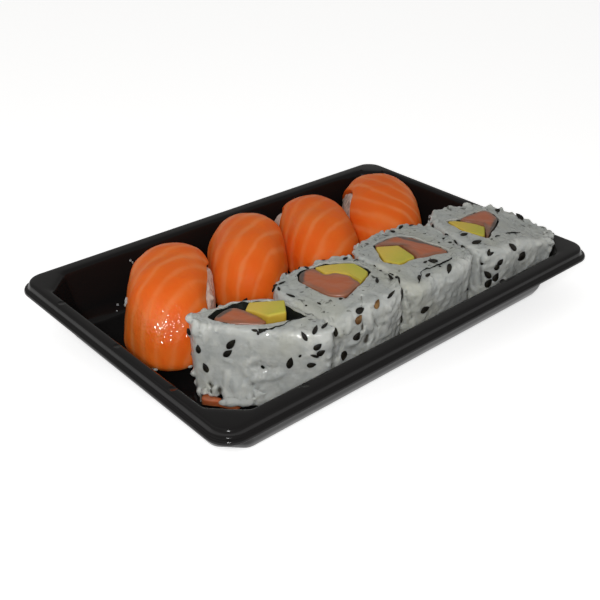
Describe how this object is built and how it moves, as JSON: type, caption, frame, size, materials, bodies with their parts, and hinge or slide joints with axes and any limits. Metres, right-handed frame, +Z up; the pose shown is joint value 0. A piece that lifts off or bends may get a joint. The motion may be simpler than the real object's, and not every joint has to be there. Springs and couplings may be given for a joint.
{
  "type": "takeaway sushi tray",
  "caption": "Black takeaway tray with a raised rim, holding slanted salmon nigiri in the far row and rice-outside rolls with salmon and avocado, stood on end, in the near row.",
  "frame": {"origin": "centre of the tray's outline, at the level of its underside", "axes": "+X along the tray's long side, +Y along its short side from the rolls towards the nigiri, +Z up"},
  "size_m": [0.185, 0.1244, 0.033],
  "materials": {
    "tray": "glossy thin black thermoformed plastic",
    "rice": "moist cooked rice, satin",
    "salmon": "wet raw salmon with pale fat lines",
    "filling": "cut salmon in the rolls, paler and flaky, satin",
    "avocado": "cut avocado, yellow with a greener edge, satin",
    "seaweed": "dark damp seaweed sheet",
    "sesame": "black sesame seeds, a few of them brown, satin"
  },
  "bodies": {
    "root": {"tray": "tray", "nigiri_1_rice": "rice", "nigiri_1_salmon": "salmon", "nigiri_2_rice": "rice", "nigiri_2_salmon": "salmon", "nigiri_3_rice": "rice", "nigiri_3_salmon": "salmon", "nigiri_4_rice": "rice", "nigiri_4_salmon": "salmon", "roll_1_rice": "rice", "roll_1_seaweed": "seaweed", "roll_1_seaweed_end": "seaweed", "roll_1_salmon": "filling", "roll_1_avocado": "avocado", "roll_2_rice": "rice", "roll_2_seaweed": "seaweed", "roll_2_salmon": "filling", "roll_2_avocado": "avocado", "roll_3_rice": "rice", "roll_3_seaweed": "seaweed", "roll_3_seaweed_end": "seaweed", "roll_3_salmon": "filling", "roll_3_avocado": "avocado", "roll_4_rice": "rice", "roll_4_seaweed": "seaweed", "roll_4_seaweed_end": "seaweed", "roll_4_salmon": "filling", "roll_4_avocado": "avocado", "salmon_scrap": "filling"}
  },
  "joints": []
}
